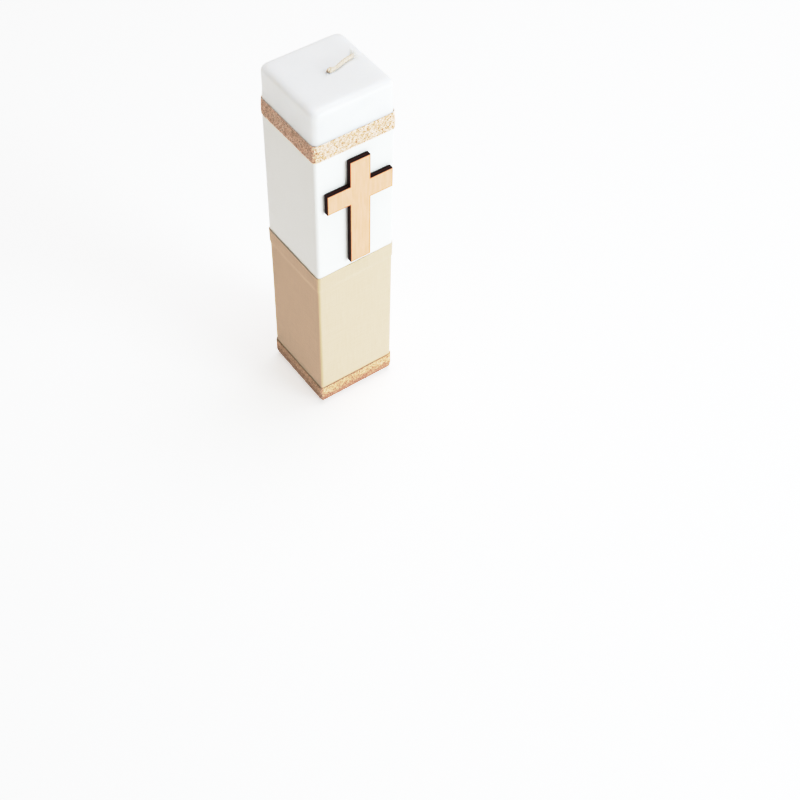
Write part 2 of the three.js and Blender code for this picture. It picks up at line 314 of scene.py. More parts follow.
class Look:
    """One material's node tree, with short names for the nodes that the looks share."""

    def __init__(self, name, **shader):
        self.material = bpy.data.materials.new(name)
        self.material.use_nodes = True
        self.tree = self.material.node_tree
        self.shader = self.tree.nodes["Principled BSDF"]
        for socket, value in shader.items():
            self.put(self.shader.inputs[socket.replace("_", " ")], value)

    def put(self, socket, value):
        """Sets a socket to a value, or links it to another socket."""
        if isinstance(value, bpy.types.NodeSocket):
            self.tree.links.new(value, socket)
        else:
            socket.default_value = value

    def node(self, kind, inputs, **settings):
        """A new node with its settings and inputs."""
        node = self.tree.nodes.new(kind)
        for setting, value in settings.items():
            setattr(node, setting, value)
        for socket, value in inputs.items():
            self.put(node.inputs[socket], value)
        return node

    def place(self, scale=(1, 1, 1)):
        """Object coordinates in millimetres, times scale."""
        coordinates = self.tree.nodes.new("ShaderNodeTexCoord").outputs["Object"]
        return self.scaled(coordinates, [axis / MM for axis in scale])

    def scaled(self, vector, scale):
        """A vector times a scale."""
        inputs = {"Vector": vector, "Scale": scale}
        return self.node("ShaderNodeMapping", inputs).outputs[0]

    def value(self, name, part="Fac"):
        """A value that the mesh carries at each point."""
        return self.node("ShaderNodeAttribute", {}, attribute_name=name).outputs[part]

    def noise(self, vector, scale, detail=3.0, roughness=0.55, part="Fac"):
        inputs = {"Vector": vector, "Scale": scale, "Detail": detail, "Roughness": roughness}
        return self.node("ShaderNodeTexNoise", inputs).outputs[part]

    def math(self, operation, *values):
        inputs = dict(enumerate(values))
        return self.node("ShaderNodeMath", inputs, operation=operation).outputs[0]

    def blend(self, first, second, share):
        """A weighted mean of two numbers."""
        part = self.math("MULTIPLY", first, share)
        return self.math("MULTIPLY_ADD", second, 1 - share, part)

    def ramp(self, factor, *stops):
        """Colours by factor. A stop is a position and a colour or a grey."""
        node = self.node("ShaderNodeValToRGB", {"Fac": factor})
        elements = node.color_ramp.elements
        while len(elements) < len(stops):
            elements.new(1.0)
        for element, (position, colour) in zip(elements, stops):
            element.position = position
            element.color = colour if len(np.shape(colour)) else (colour, colour, colour, 1)
        return node.outputs[0]

    def mix(self, factor, first, second, kind="MIX"):
        """Two colours mixed by factor."""
        node = self.tree.nodes.new("ShaderNodeMix")
        node.data_type = "RGBA"
        node.blend_type = kind
        self.put(node.inputs[0], factor)
        self.put(node.inputs[6], first)
        self.put(node.inputs[7], second)
        return node.outputs[2]

    def bump(self, height, distance, strength=1.0, normal=None):
        """A normal from a height of 0 to 1, with its depth in millimetres."""
        inputs = {"Height": height, "Distance": distance * MM, "Strength": strength}
        if normal is not None:
            inputs["Normal"] = normal
        return self.node("ShaderNodeBump", inputs).outputs[0]

    def colour(self, socket):
        self.put(self.shader.inputs["Base Color"], socket)

    def roughness(self, socket):
        self.put(self.shader.inputs["Roughness"], socket)

    def normal(self, socket):
        self.put(self.shader.inputs["Normal"], socket)


def rgb(red, green, blue):
    """A colour given as on a screen, 0 to 255, in the linear values that nodes use."""
    parts = [part / 255 for part in (red, green, blue)]
    linear = [((part + 0.055) / 1.055) ** 2.4 if part > 0.04 else part / 12.92 for part in parts]
    return (*linear, 1)


def wax_look():
    """White paraffin: light soaks in a little, with faint clouds and a soft, dull gloss."""
    look = Look(
        "wax",
        Roughness=0.42,
        Subsurface_Weight=0.8,
        Subsurface_Radius=(1.0, 0.93, 0.85),
        Subsurface_Scale=0.01,
        Coat_Weight=0.08,
        Coat_Roughness=0.4,
    )
    place = look.place()
    clouds = look.noise(place, 0.07, 4)
    look.colour(look.ramp(clouds, (0.3, rgb(233, 234, 235)), (0.7, rgb(239, 240, 241))))
    grain = look.noise(place, 1.4, 5, 0.6)
    look.roughness(look.ramp(grain, (0.3, 0.38), (0.75, 0.5)))
    pits = look.ramp(look.noise(place, 2.6, 2), (0.62, 0.0), (0.72, 1.0))
    soft = look.bump(look.noise(place, 0.35, 3), 0.16)
    look.normal(look.bump(pits, -0.03, 0.5, soft))
    return look.material


def weave(look, cut, pitch):
    """Height of a plain weave: threads over and under each other, pitch apart."""
    drift = look.scaled(look.noise(cut, 0.25, 2, part="Color"), (0.5, 0.5, 0))
    shifted = look.node("ShaderNodeVectorMath", {0: cut, 1: drift}).outputs[0]
    parts = look.node("ShaderNodeSeparateXYZ", {0: shifted}).outputs
    across = look.math("SINE", look.math("MULTIPLY", parts[0], math.pi / pitch))
    along = look.math("SINE", look.math("MULTIPLY", parts[1], math.pi / pitch))
    order = look.math("MULTIPLY", across, along)
    warp_on_top = look.math("MULTIPLY_ADD", order, 0.5, 0.5)
    weft_on_top = look.math("SUBTRACT", 1.0, warp_on_top)
    warp = look.math("MULTIPLY", look.math("MULTIPLY", across, across), warp_on_top)
    weft = look.math("MULTIPLY", look.math("MULTIPLY", along, along), weft_on_top)
    return look.math("ADD", warp, weft)


def cloth_look(name, light, dark, pitch, slub, depth, sheen):
    """Plain-woven cotton with uneven threads: slub is how much their colour varies and depth
    is the weave's relief in millimetres."""
    look = Look(name, Roughness=0.88, Sheen_Weight=sheen, Sheen_Roughness=0.45)
    look.put(look.shader.inputs["Specular IOR Level"], 0.25)
    cut = look.value("cut", "Vector")
    height = weave(look, cut, pitch)
    warp_threads = look.noise(look.scaled(cut, (1 / pitch, 0.06, 1)), 0.9, 3, 0.7)
    weft_threads = look.noise(look.scaled(cut, (0.06, 1 / pitch, 1)), 0.9, 3, 0.7)
    streaks = look.blend(warp_threads, weft_threads, 0.5)
    tone = look.ramp(streaks, (0.5 - slub, dark), (0.5 + slub, light))
    # Painted shade: the weave's low spots between the threads are darkened a little.
    furrow_shade = look.ramp(height, (0.0, 0.80), (0.55, 1.0))
    look.colour(look.mix(0.55, tone, look.mix(1.0, tone, furrow_shade, "MULTIPLY")))
    uneven = look.bump(streaks, 0.05)
    look.normal(look.bump(height, depth, 1.0, uneven))
    return look.material


def twine_look(name, foot, *tones):
    """Jute: coarse fibres, some pale and some dark, that lie along the twisted plies.
    The tones go from the darkest fibres to the palest; foot is the colour of a painted shade that
    darkens the twine towards its base."""
    look = Look(name, Roughness=0.9, Sheen_Weight=0.5, Sheen_Roughness=0.5)
    look.put(look.shader.inputs["Specular IOR Level"], 0.2)
    fibre = look.value("fibre", "Vector")
    strands = look.noise(look.scaled(fibre, (4.0, 4.0, 0.6)), 1.0, 3, 0.6)
    flecks = look.noise(look.place(), 1.0, 3, 0.7)
    mixed = look.blend(strands, flecks, 0.35)
    tone = look.ramp(mixed, *zip((0.38, 0.46, 0.53, 0.62), tones))
    height = look.node("ShaderNodeSeparateXYZ", {0: look.place()}).outputs[2]
    # Painted shade: the colour is multiplied by foot at the base, fading to none 10 mm up.
    painted_foot_shade = look.ramp(look.math("MULTIPLY", height, 0.1), (0.1, foot), (1.0, rgb(255, 255, 255)))
    look.colour(look.mix(1.0, tone, painted_foot_shade, "MULTIPLY"))
    look.normal(look.bump(strands, 0.1))
    return look.material


def wood_look():
    """Pale laser-cut board: faint grain and pores, browned by the beam along its edges."""
    look = Look("wood", Roughness=0.6)
    look.put(look.shader.inputs["Specular IOR Level"], 0.3)
    place = look.place()
    grain = look.noise(look.scaled(place, (0.9, 0.9, 0.1)), 1.0, 4, 0.55)
    face = look.ramp(grain, (0.3, rgb(215, 162, 136)), (0.7, rgb(222, 171, 145)))
    pores = look.noise(look.scaled(place, (5.0, 5.0, 0.6)), 1.0, 2)
    face = look.mix(look.ramp(pores, (0.60, 0.0), (0.80, 0.25)), face, rgb(204, 148, 116))
    smoke = look.math("MULTIPLY_ADD", look.noise(place, 0.8, 3), 0.25, look.value("inset"))
    browned = look.ramp(
        smoke,
        (0.12, rgb(84, 42, 22)),
        (0.26, rgb(214, 140, 72)),
        (0.45, rgb(246, 208, 150)),
        (0.8, rgb(255, 255, 255)),
    )
    look.colour(look.mix(1.0, face, browned, "MULTIPLY"))
    look.normal(look.bump(look.math("ADD", grain, pores), 0.03))
    return look.material


def charred_look():
    """The cut walls: burnt nearly black, with the core ply a dark red."""
    look = Look("charred_wood", Roughness=0.85)
    look.put(look.shader.inputs["Specular IOR Level"], 0.12)
    soot = look.noise(look.scaled(look.place(), (2.0, 2.0, 0.5)), 1.0, 4)
    plies = look.ramp(
        look.value("depth"),
        (0.0, rgb(16, 10, 9)),
        (0.28, rgb(22, 12, 11)),
        (0.42, rgb(58, 20, 18)),
        (0.6, rgb(52, 18, 16)),
        (0.74, rgb(20, 11, 10)),
        (1.0, rgb(12, 8, 7)),
    )
    look.colour(look.mix(look.ramp(soot, (0.35, 0.0), (0.7, 0.6)), plies, rgb(12, 8, 8)))
    look.normal(look.bump(soot, 0.04))
    return look.material


def wick_look(name, dark, light):
    """Waxed cotton: strands with a dull gloss."""
    look = Look(name, Roughness=0.6, Subsurface_Weight=0.15, Subsurface_Scale=0.0008)
    look.put(look.shader.inputs["Subsurface Radius"], (1.0, 0.9, 0.75))
    fibre = look.value("fibre", "Vector")
    strands = look.noise(look.scaled(fibre, (6.0, 6.0, 0.5)), 1.0, 4, 0.6)
    look.colour(look.ramp(strands, (0.3, dark), (0.7, light)))
    look.normal(look.bump(strands, 0.08))
    return look.material


def tin_look():
    """Tinned steel sheet, brushed dull by handling."""
    look = Look("tin", Metallic=1.0, Roughness=0.32)
    place = look.place()
    smears = look.noise(place, 0.5, 5, 0.65)
    look.colour(look.ramp(smears, (0.3, rgb(176, 178, 178)), (0.7, rgb(206, 207, 205))))
    look.roughness(look.ramp(smears, (0.3, 0.24), (0.7, 0.46)))
    look.normal(look.bump(look.noise(look.scaled(place, (6, 0.6, 1)), 1.0, 3), 0.01))
    return look.material


def tape_look():
    """Clear double-sided tape, a little milky."""
    look = Look("tape", Roughness=0.35)
    crinkle = look.noise(look.place(), 0.6, 4)
    look.colour(look.ramp(crinkle, (0.3, rgb(222, 218, 204)), (0.7, rgb(240, 238, 229))))
    look.normal(look.bump(crinkle, 0.02))
    return look.material


WAX = wax_look()
WICK = wick_look("wick", rgb(204, 186, 162), rgb(240, 224, 206))
COTTON_ENDS = wick_look("cotton_ends", rgb(238, 236, 226), rgb(252, 252, 246))
TIN = tin_look()
WHITE_CLOTH = cloth_look("white_cloth", rgb(250, 250, 249), rgb(243, 242, 239), 0.34, 0.22, 0.03, 0.15)
BEIGE_CLOTH = cloth_look("beige_cloth", rgb(216, 194, 166), rgb(201, 176, 147), 0.42, 0.2, 0.05, 0.35)
PALE_TWINE = twine_look(
    "pale_twine",
    rgb(255, 255, 255),
    rgb(168, 118, 84),
    rgb(228, 182, 146),
    rgb(255, 228, 204),
    rgb(255, 244, 232),
)
# The lower winding: the same jute drawn darker and browner, as painted shade for the dimmer light near
# the foot, with more painted shade towards the base.
SHADED_LOWER_TWINE = twine_look(
    "shaded_lower_twine",
    rgb(168, 126, 98),
    rgb(162, 114, 78),
    rgb(212, 166, 130),
    rgb(236, 196, 162),
    rgb(252, 230, 198),
)
WOOD = wood_look()
CHARRED_WOOD = charred_look()
TAPE = tape_look()


# Wax pillar


def wax_outline(half, z, stations):
    """Plan points of the wax's outline at a half width and a height."""
    bare = smooth(z, UPPER_LOW[2], UPPER_HIGH[2])
    corner = CORNER + (BARE_CORNER - CORNER) * bare
    core, outward = square_frame(stations)
    eased = np.sign(outward) * np.abs(outward) ** (1 + (SOFTNESS - 1) * bare)
    return core * (half - corner) / CORNER_CENTRE + eased * corner


def foot_recess(z):
    """The offset, zero or less, by which the foot draws in at height z."""
    share = np.clip(1 - np.asarray(z, float) / FOOT["height"], 0, 1)
    return FOOT["depth"] * (np.sqrt(1 - share**2) - 1)


def foot_edge(steps):
    """Half widths and heights up the wax's foot."""
    heights = FOOT["height"] * (1 - np.cos(np.linspace(0, math.pi / 2, steps)))
    return list(zip(WAX_HALF + foot_recess(heights), heights))


def top_edge(steps):
    """Half widths and heights round the wax's top edge, from its side inwards."""
    angles = np.linspace(0, math.pi / 2, steps)
    across = np.abs(np.cos(angles)) ** SOFTNESS
    upwards = np.sin(angles) ** SOFTNESS
    return list(zip(WAX_HALF - TOP_ROUND * (1 - across), WAX_TOP - TOP_ROUND * (1 - upwards)))


def wax_pillar():
    """One closed surface: base, sides, top and the way for the wick down the middle."""
    stations = square_stations(-FACE / 2, ROUND - FACE / 2, 1.5, 10)[:-1]
    centre = WICK_PLACE[:2]
    sides = np.linspace(FOOT["height"], WAX_TOP - TOP_ROUND, 80)[1:-1]
    outside = foot_edge(20)
    outside += [(WAX_HALF, z) for z in sides]
    outside += top_edge(28)
    rings = [wax_outline(half, z, stations) for half, z in outside]
    heights = [z for _, z in outside]
    for ring, z in wick_way(rings[-1], centre):
        rings.append(ring)
        heights.append(z)
    rings = np.array(rings)
    heights = np.broadcast_to(np.array(heights)[:, None], rings.shape[:2])
    points = np.concatenate([rings, heights[..., None]], axis=-1)
    points = wax_swell(points)
    shape = Shape().add(points, grid_faces(len(rings), len(stations), True, True))
    piece = new_piece("wax_body", shape, WAX, "candle")
    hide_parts("wax_pillar")
    return piece


def wick_way(rim, centre):
    """Rings and heights from the rim of the top inwards, down the bore and round the clip."""
    bore = WICK_RADIUS + WICK_FIT
    bearing = np.arctan2(*(rim - centre).T[::-1])
    circle = np.stack([np.cos(bearing), np.sin(bearing)], axis=1)
    mouth = centre + circle * bore
    way = []
    for share in np.linspace(0, 1, 34)[1:]:
        ring = rim * (1 - share) + mouth * share
        distance = np.linalg.norm(ring - centre, axis=1).min()
        meniscus = MENISCUS["height"] * math.exp(-((distance - bore) / MENISCUS["reach"]))
        hollow = -HOLLOW["depth"] * math.exp(-((distance / HOLLOW["reach"]) ** 2))
        way.append((ring, WAX_TOP + meniscus + hollow))
    neck, plate = CLIP_ROOM["neck"], CLIP_ROOM["plate"]
    over_clip = CLIP_HIGH[2] + CLIP_ROOM["gap"]
    round_clip = CLIP_HIGH[0] + CLIP_ROOM["gap"]
    room = [(bore, WAX_TOP - 3), (bore + 0.15, over_clip), (neck, over_clip), (neck, plate)]
    room += [(round_clip, plate), (round_clip, 0.0)]
    return way + [(centre + circle * radius, z) for radius, z in room]


def wax_swell(points):
    """Moves the wax's points: the bare part stands out, most of all just above the twine, the
    wrapped part is pressed in, and the sides and top swell a tenth or so as poured wax does."""
    swell = waves(3, 5, 60, 14)(points)
    bare = smooth(points[..., 2], WHITE_HIGH[2], UPPER_HIGH[2] - 1)
    outer = smooth(np.abs(points[..., :2]).max(axis=-1), WAX_HALF - TOP_ROUND, WAX_HALF)
    collar = COLLAR * np.exp(-(((points[..., 2] - UPPER_HIGH[2]) / COLLAR_SPREAD) ** 2))
    standing = BARE_SWELL + 0.1 * swell + collar
    sideways = (standing * bare - PRESSED_IN * (1 - bare)) * outer
    on_top = smooth(points[..., 2], WAX_TOP - 0.6, WAX_TOP - 0.1)
    points = points.copy()
    points[..., :2] *= 1 + (sideways / WAX_HALF)[..., None]
    points[..., 2] += 0.12 * swell * on_top
    return points


# Cloth sleeves


def sleeve(name, profile, tape, wrinkle, material, tilt=None):
    """A strip of cloth round the candle, its last end lapped over the first at the back.
    profile holds the outer and inner offsets and the height of each step of its section.
    tape is the CAD strip between the two ends.
    tilt is how much higher each step rises on the +X side, and falls on the other."""
    start, end = -LAP, ROUND + LAP
    stations = square_stations(start, end, 1.2, 12)
    offsets, heights = (np.array(part) for part in zip(*profile))
    lap = smooth(stations, ROUND - LAP - 6, ROUND - LAP - 1)
    low, high = (corner[2] for corner in node_corners(tape))
    reach = smooth(heights, low - 1.5, low) * (1 - smooth(heights, high, high + 1.5))
    core_offset = np.broadcast_to(offsets, (len(stations), len(offsets)))
    cut = np.stack(np.broadcast_arrays(stations[:, None], heights[None, :]), axis=-1)
    swell = wrinkle(cut)
    lift = LAP_PRESSED + (LAP_LIFT - LAP_PRESSED) * reach
    offset = core_offset + lap[:, None] * lift[None, :] + swell
    points = square_points(
        np.broadcast_to(stations[:, None], offset.shape), offset, heights[None, :]
    )
    if tilt is not None:
        towards_right = points[..., 0] / WAX_HALF
        points[..., 2] += np.clip(towards_right, -1, 1) * tilt(points[..., 2])
    faces = capped_faces(len(stations), len(heights))
    cut = np.concatenate([cut, np.zeros(cut.shape[:2] + (1,))], axis=-1)
    shape = Shape().add(points, faces, cut=cut.reshape(-1, 3))
    return new_piece(name, shape, material, "candle")


def strip_section(bottom, top, offset, rows):
    """The section of a plain strip: up its outside and down its inside."""
    heights = np.linspace(bottom, top, rows)
    outside = [(offset(z) + CLOTH, z) for z in heights]
    inside = [(offset(z), z) for z in heights[::-1]]
    return outside + inside


def white_sleeve():
    """The upper sleeve, a plain strip with a slight swell where nothing holds it down."""
    bottom, top = WHITE_LOW[2], WHITE_HIGH[2]
    swell = waves(11, 6, 70, 16, 2)

    def wrinkle(cut):
        open_part = smooth(cut[..., 1], BEIGE_TOP, BEIGE_TOP + 12)
        open_part = open_part * (1 - smooth(cut[..., 1], UPPER_LOW[2] - 10, UPPER_LOW[2]))
        return 0.035 * swell(cut * (1, 0.55)) * open_part

    profile = strip_section(bottom, top, lambda z: CLOTH_GAP, 60)
    piece = sleeve("white_sleeve", profile, "white_seam_tape", wrinkle, WHITE_CLOTH)
    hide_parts("white_cloth")
    return piece


def hem_section():
    """The beige strip's section: up the outside, over the fold and down to the turned-in edge,
    back up between the layers, and down the inside."""
    bottom = BEIGE_LOW[2]
    slope_foot = HEM_FOOT - HEM["slope"]
    layer, gap = HEM["layer"], HEM["gap"]
    pressed = 0.02
    turned_in = CLOTH_GAP + CLOTH - pressed
    over = turned_in + layer + gap

    def body(z):
        return CLOTH_GAP + (over - CLOTH_GAP) * smooth(z, slope_foot, HEM_FOOT) + foot_recess(z)

    fold = layer + gap / 2
    fold_foot = BEIGE_TOP - fold
    lower = np.linspace(bottom, slope_foot, 46)
    upper = np.linspace(slope_foot, fold_foot, 14)[1:]
    heights = np.r_[lower, upper]
    section = [(body(z) + layer, z) for z in heights]
    for angle in np.linspace(0, math.pi, 9)[1:-1]:
        offset = turned_in + fold + fold * math.cos(angle)
        section.append((offset, fold_foot + fold * math.sin(angle)))
    inside = np.linspace(fold_foot, HEM_FOOT + 0.6, 8)
    section += [(turned_in, z) for z in inside]
    section += [(turned_in + layer, z) for z in inside[::-1]]
    section += [(over, z) for z in inside[1:]]
    section += [(body(z), z) for z in heights[::-1] if z < HEM_FOOT + 0.3]
    return section


def beige_sleeve():
    """The lower sleeve. Its hem stands off a little on the left and sits a little askew."""
    bottom, top = BEIGE_LOW[2], BEIGE_TOP
    swell = waves(23, 6, 60, 12, 2)

    def wrinkle(cut):
        station, z = cut[..., 0], cut[..., 1]
        open_part = smooth(z, LOWER_HIGH[2], LOWER_HIGH[2] + 10)
        on_left = smooth(station, 0, FACE / 2) * (1 - smooth(station, 1.1 * FACE, 1.5 * FACE))
        stand = HEM["stand"] * on_left * smooth(z, HEM_FOOT - 6, top)
        return 0.05 * (swell(cut * (1, 0.4)) + 0.4) * open_part + stand

    def tilt(z):
        return HEM["tilt"] * smooth(z, HEM_FOOT - 30, HEM_FOOT)

    piece = sleeve("beige_sleeve", hem_section(), "beige_seam_tape", wrinkle, BEIGE_CLOTH, tilt)
    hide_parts("beige_cloth")
    return piece


# Twine windings


def underlay(z):
    """How far out of the wax's face the surface under a turn of twine lies at height z."""
    upright, pitch = TWINE["upright"], TWINE["pitch"]
    over_beige = smooth(z, BEIGE_LOW[2] - upright - pitch, BEIGE_LOW[2] - upright)
    cloth = CLOTH_GAP + CLOTH
    lower = foot_recess(z) + cloth * over_beige
    return np.where(z < WAX_TOP / 2, lower, cloth)


def winding(name, low, high, seed, node, material):
    """Two-ply twine wound turn upon turn, with the loose fibres that stand off it."""
    pitch, upright, radial = TWINE["pitch"], TWINE["upright"], TWINE["radial"]
    turns = round((high - low - 2 * upright) / pitch)
    travelled = np.linspace(0, turns * ROUND, int(turns * ROUND / 0.42))
    line = travelled[:, None]
    z = low + upright + pitch * travelled / ROUND + 0.05 * waves(seed, 6, 40, 7, 1)(line)
    _, outward = square_frame(travelled)
    at_corner = 2 * np.abs(outward[:, 0] * outward[:, 1])
    settled = CORNER_SETTLE * at_corner * smooth(z, WHITE_HIGH[2], UPPER_HIGH[2])
    offset = underlay(z) + TWINE["gap"] + radial - settled
    centre = square_points(travelled, offset, z)
    out = np.concatenate([outward, np.zeros((len(outward), 1))], axis=1)
    up = np.broadcast_to([0.0, 0.0, 1.0], out.shape)
    thick = 1 + 0.15 * waves(seed + 1, 5, 30, 4, 1)(line)
    twist = 2 * math.pi * travelled / TWINE["twist"] + 1.2 * waves(seed + 2, 4, 60, 20, 1)(line)
    shape = Shape()
    for ply in range(2):
        angle = twist + ply * math.pi
        path = centre + out * (PLY["out"] * np.cos(angle) * thick)[:, None]
        path = path + up * (PLY["up"] * np.sin(angle) * thick)[:, None]
        points, faces, around = tube(path, out, up, PLY["width"] * thick, PLY["height"] * thick, 6)
        lay = around + np.repeat(twist, 6)
        along = np.repeat(travelled, 6) + ply * 500 + seed * 37
        shape.add(points, faces, fibre=fibre_place(lay, along, 0.3))
    points, faces, around = tube(centre[::2], out[::2], up[::2], 0.12, upright + 0.01, 4)
    shape.add(points, faces, fibre=fibre_place(around, np.repeat(travelled[::2], 4)))
    add_fuzz(shape, np.random.default_rng(seed), centre, out, low, high, LOOSE_FIBRES)
    piece = new_piece(name, shape, material, "candle")
    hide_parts(node)
    return piece


def add_fuzz(shape, random, centre, out, low, high, count):
    """Short fibres that leave the twine at a shallow angle and curl."""
    ahead = unit(np.gradient(centre, axis=0))
    up = np.array([0.0, 0.0, 1.0])
    share = np.linspace(0, 1, 5)[:, None]
    for _ in range(count):
        at = random.integers(30, len(centre) - 30)
        start = centre[at] + out[at] * 0.2 + up * random.uniform(-0.45, 0.45)
        way = ahead[at] * random.choice((-1, 1)) + out[at] * random.uniform(0.05, 0.5)
        way = unit(way + up * random.normal(0, 0.55))
        bend = random.normal(size=3) * 0.25 - out[at] * 0.1
        length = min(random.gamma(3.0, 0.5), 3.6)
        path = start + way * length * share + bend * length * share**2
        path[:, 2] = np.clip(path[:, 2], max(low - 1.2, 0.06), high + 1.2)
        side, rise = frame_along(path, unit(np.cross(way, bend) + 1e-6))
        radius = random.uniform(0.018, 0.045) * (1 - 0.6 * share[:, 0])
        points, faces, around = tube(path, side, rise, radius, radius, 3)
        tint = 5 * random.random()
        along = np.repeat(share[:, 0] * length, 3) + at
        fibre = fibre_place(around, along, 0.05) + (tint, 0, 0)
        shape.add(points, faces, fibre=fibre)


# Cross


def cross_outline():
    """The corners of the cross, anticlockwise from its foot, about the foot's middle."""
    half = (CROSS_HIGH[0] - CROSS_LOW[0]) / 2
    height = CROSS_HIGH[2] - CROSS_LOW[2]
    post = STEM / 2
    arm_top = ARM_FOOT + ARM
    right = [(post, 0), (post, ARM_FOOT), (half, ARM_FOOT)]
    right += [(half, arm_top), (post, arm_top), (post, height)]
    left = [(-x, z) for x, z in right[::-1]]
    return np.array(right + left, float)


def outline_loop(corners, inset, step=1.0):
    """Points round an outline, moved inwards by inset."""
    count = len(corners)
    edges = np.roll(corners, -1, axis=0) - corners
    inward = unit(np.stack([-edges[:, 1], edges[:, 0]], axis=1))
    moved = corners + inset * (inward + np.roll(inward, 1, axis=0))
    points = []
    for i in range(count):
        pieces = max(int(round(np.linalg.norm(edges[i]) / step)), 1)
        shares = np.linspace(0, 1, pieces, endpoint=False)[:, None]
        points.append(moved[i] * (1 - shares) + moved[(i + 1) % count] * shares)
    return np.concatenate(points)


def cross_section(thickness):
    """Depths and insets from the back to the face, with a groove at each glue line."""
    bevel = 0.12
    groove = 0.07
    glue_lines = (0.28 * thickness, 0.72 * thickness)
    walls = [(0.0, bevel), (bevel, 0.0), (0.5 * thickness, 0.01), (thickness - bevel, 0.02)]
    for line in glue_lines:
        walls += [(line - groove, 0.0), (line, groove / 2), (line + groove, 0.0)]
    back = [(0.0, 1.6), (0.0, 0.7)]
    face = [(thickness, inset) for inset in (bevel, 0.35, 0.7, 1.4)]
    return back, sorted(walls), face


def wooden_cross():
    """Laser-cut board: charred walls with glue lines, and a face with eased edges."""
    corners = cross_outline()
    thickness = CROSS_HIGH[1] - CROSS_LOW[1]
    middle = (CROSS_LOW[0] + CROSS_HIGH[0]) / 2
    back, walls, face = cross_section(thickness)
    loops = back + walls + face
    plans = [outline_loop(corners, inset) for _, inset in loops]
    points = [
        np.stack([x + middle, np.full(len(x), CROSS_HIGH[1] - depth), z + CROSS_LOW[2]], axis=1)
        for (depth, _), (x, z) in zip(loops, (plan.T for plan in plans))
    ]
    count = len(plans[0])
    faces = capped_faces(len(loops), count)
    depths, insets = np.repeat(np.array(loops), count, axis=0).T
    shape = Shape().add(points, faces, inset=insets, depth=depths / thickness)
    piece = new_piece("cross", shape, WOOD, "candle", flat=True)
    piece.data.materials.append(CHARRED_WOOD)
    first = (len(back) - 1) * count
    last = (len(back) + len(walls)) * count
    for polygon in piece.data.polygons:
        polygon.material_index = int(first <= polygon.index < last)
    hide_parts("wooden_cross")
    return piece


# Wick and its clip


def wick_route():
    """The wick's line: up through the wax, over at the hinge and along the top."""
    route = [(4, -1.2, 0), (10, -0.6, 0.2), (15, -0.5, 0.2), (17.5, -0.1, -0.1)]
    turn = np.array(
        [
            [math.cos(WICK_DIRECTION), -math.sin(WICK_DIRECTION)],
            [math.sin(WICK_DIRECTION), math.cos(WICK_DIRECTION)],
        ]
    )
    foot = (*WICK_PLACE[:2], CORE_LOW[2])
    points = [foot, (*WICK_PLACE[:2], WAX_TOP - 4), (*WICK_PLACE[:2], WAX_TOP + 0.2)]
    points.append((WICK_PLACE[0] + 0.9, WICK_PLACE[1] - 0.35, HINGE[2] - 0.25))
    for x, y, z in route:
        plan = turn @ (x, y) + HINGE[:2]
        points.append((*plan, HINGE[2] + z - 0.15))
    return points


def braided_wick():
    """Eight strands that cross over and under each other, and a frayed cut end."""
    points = wick_route()
    hidden = spline(points[:2], 260)
    bare = spline(points[1:], 110)
    path = np.concatenate([hidden, bare[1:]])
    travelled = np.r_[0, np.cumsum(np.linalg.norm(np.diff(path, axis=0), axis=1))]
    tangent = unit(np.gradient(path, axis=0))
    axis = np.array([math.sin(WICK_DIRECTION), -math.cos(WICK_DIRECTION), 0])
    up = unit(np.cross(np.broadcast_to(axis, tangent.shape), tangent))
    side = unit(np.cross(tangent, up))
    out_of_wax = travelled - travelled[len(hidden) - 1]
    knuckle = smooth(out_of_wax, 4.0, 5.4) * (1 - smooth(out_of_wax, 6.0, 8.4))
    thick = 1 + (KNUCKLE - 1) * knuckle - 0.1 * smooth(out_of_wax, 6, 8.5)
    thick += 0.22 * smooth(out_of_wax, 9, 14)
    shape = Shape()
    for direction in (1, -1):
        for strand in range(4):
            turn = 2 * math.pi * travelled / BRAID["pitch"]
            angle = direction * turn + strand * math.pi / 2
            weaving = direction * BRAID["weave"] * np.cos(4 * turn)
            radius = (BRAID["radius"] + weaving) * thick
            offset = side * (radius * np.cos(angle))[:, None] + up * (radius * np.sin(angle))[:, None]
            centre = path + offset
            outward = unit(offset)
            ahead = unit(np.gradient(centre, axis=0))
            across = unit(np.cross(ahead, outward))
            thin = thick * (1 - 0.45 * smooth(travelled, travelled[-1] - 3.0, travelled[-1]))
            width, height = BRAID["width"] * thin, BRAID["height"] * thin
            tube_points, faces, around = tube(centre, across, outward, width, height, 6)
            along = np.repeat(travelled, 6) + strand * 60 + direction * 500
            shape.add(tube_points, faces, fibre=fibre_place(around, along, 0.4))
    middle = (0.5 * thick + 0.45 * knuckle)[:-8]
    core, faces, around = tube(path[:-8], side[:-8], up[:-8], middle, middle, 6)
    shape.add(core, faces, fibre=fibre_place(around, core[:, 2]))
    braided = len(shape.faces)
    add_fray(shape, path, tangent, side, up)
    piece = new_piece("wick", shape, WICK)
    piece.data.materials.append(COTTON_ENDS)
    for polygon in piece.data.polygons:
        polygon.material_index = int(polygon.index >= braided)
    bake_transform(piece)
    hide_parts("wick_core", "wick_tip")
    return piece


